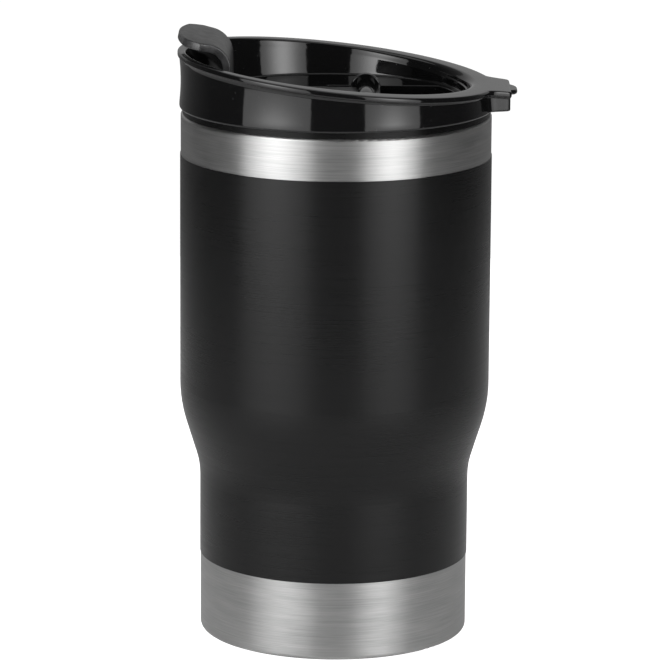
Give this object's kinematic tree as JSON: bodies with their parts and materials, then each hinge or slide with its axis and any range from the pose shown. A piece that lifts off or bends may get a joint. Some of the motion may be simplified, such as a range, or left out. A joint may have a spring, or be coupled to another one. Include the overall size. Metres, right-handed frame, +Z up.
{
  "type": "insulated travel mug",
  "caption": "Vacuum-walled steel travel mug with a stepped body, a press-on slanted lid, a flip lever over the drink hole and a rear thumb lug.",
  "frame": {"origin": "centre of the face that the mug stands on", "axes": "+Z up along the mug's axis; -X is the drinking side with the thumb pad; +X is the rear lug"},
  "size_m": [0.0917, 0.0854, 0.1651],
  "materials": {
    "brushed_steel": "brushed round the body",
    "black_coat": "satin, with the brushing showing through",
    "liner_steel": "electropolished",
    "copper_foil": "bright foil",
    "getter_grey": "matte sintered",
    "solder": "dull",
    "gloss_black_plastic": "gloss",
    "satin_black_plastic": "satin, finely textured",
    "clear_silicone": "translucent matte",
    "black_silicone": "matte",
    "pin_steel": "polished"
  },
  "bodies": {
    "mug": {"outer_shell": "brushed_steel", "powder_coat": "black_coat", "inner_liner": "liner_steel", "copper_foil": "copper_foil", "base_plate": "liner_steel", "getter_pellet": "getter_grey", "getter_strap": "liner_steel", "vacuum_seal": "solder", "base_cap": "brushed_steel"},
    "lid": {"lid_shell": "gloss_black_plastic", "lid_plug": "gloss_black_plastic", "lid_gasket": "clear_silicone", "channel_seal": "clear_silicone", "hinge_pin": "pin_steel"},
    "lever": {"flip_lever": "satin_black_plastic", "drink_stopper": "black_silicone", "vent_stopper": "black_silicone"}
  },
  "joints": [
    {"name": "lid_lift", "type": "slide", "parent": "mug", "child": "lid", "axis": [0, 0, 1], "range_m": [0, 0.05]},
    {"name": "lever_flip", "type": "hinge", "parent": "lid", "child": "lever", "pos_m": [0.00795, 0, 0.1468], "axis": [0, 1, 0], "range_deg": [0, 100]}
  ]
}
